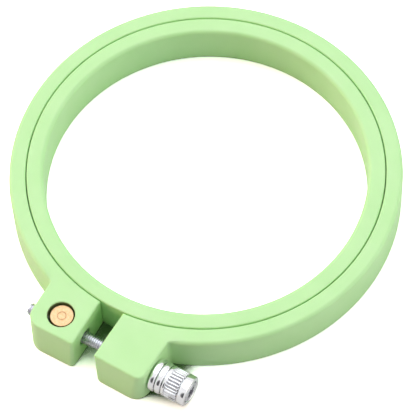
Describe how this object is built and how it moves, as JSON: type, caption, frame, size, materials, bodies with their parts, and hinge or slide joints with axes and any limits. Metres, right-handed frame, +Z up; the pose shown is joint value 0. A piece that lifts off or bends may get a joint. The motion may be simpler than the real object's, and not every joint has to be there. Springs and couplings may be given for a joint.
{
  "type": "embroidery hoop",
  "caption": "Round moulded embroidery hoop: a closed inner hoop lies in a split outer hoop whose block lugs are drawn together by a knurled thumb screw in a barrel nut.",
  "frame": {"origin": "middle of the foot of the whole part's box, on the plane that the hoops rest on; the hoops' own axis stands at x 0, y 5.40 mm", "axes": "+Z up out of the stitching side, +X along the screw from the barrel nut to the knob, lugs towards -Y"},
  "size_m": [0.105, 0.1158, 0.0124],
  "materials": {
    "hoop_plastic": "satin moulded plastic, light green",
    "nut_brass": "turned brass",
    "screw_steel": "plated steel",
    "knob_plate": "bright nickel plate"
  },
  "bodies": {
    "nut_half": {"outer_hoop_nut_half": "hoop_plastic"},
    "knob_half": {"outer_hoop_knob_half": "hoop_plastic"},
    "inner_hoop": {"inner_hoop": "hoop_plastic"},
    "nut": {"barrel_nut": "nut_brass"},
    "washer": {"knob_washer": "knob_plate"},
    "screw": {"clamp_screw": "screw_steel", "thumb_knob": "knob_plate"}
  },
  "joints": [
    {"name": "hoop_opening", "type": "hinge", "parent": "nut_half", "child": "knob_half", "pos_m": [0, 0.0557, 0.0062], "axis": [0, 0, 1], "range_deg": [0, 2.27]},
    {"name": "nut_swivel", "type": "hinge", "parent": "nut_half", "child": "nut", "pos_m": [-0.01005, -0.0509, 0.0062], "axis": [0, 0, 1], "range_deg": [0, 1.17]},
    {"name": "screw_travel", "type": "slide", "parent": "nut", "child": "washer", "axis": [1, 0, 0], "range_m": [0, 0.00424]},
    {"name": "screw_turn", "type": "hinge", "parent": "washer", "child": "screw", "pos_m": [0.0243, -0.0509, 0.0062], "axis": [1, 0, 0], "range_deg": [0, 2540]},
    {"name": "inner_hoop_lift", "type": "slide", "parent": "nut_half", "child": "inner_hoop", "axis": [0, 0, 1], "range_m": [0, 0.018]}
  ],
  "couplings": [
    {"joint": "nut_swivel", "follows": "hoop_opening", "ratio": 0.51332},
    {"joint": "screw_travel", "follows": "hoop_opening", "m_per_rad": 0.1066},
    {"joint": "screw_turn", "follows": "hoop_opening", "ratio": 1116.3}
  ]
}
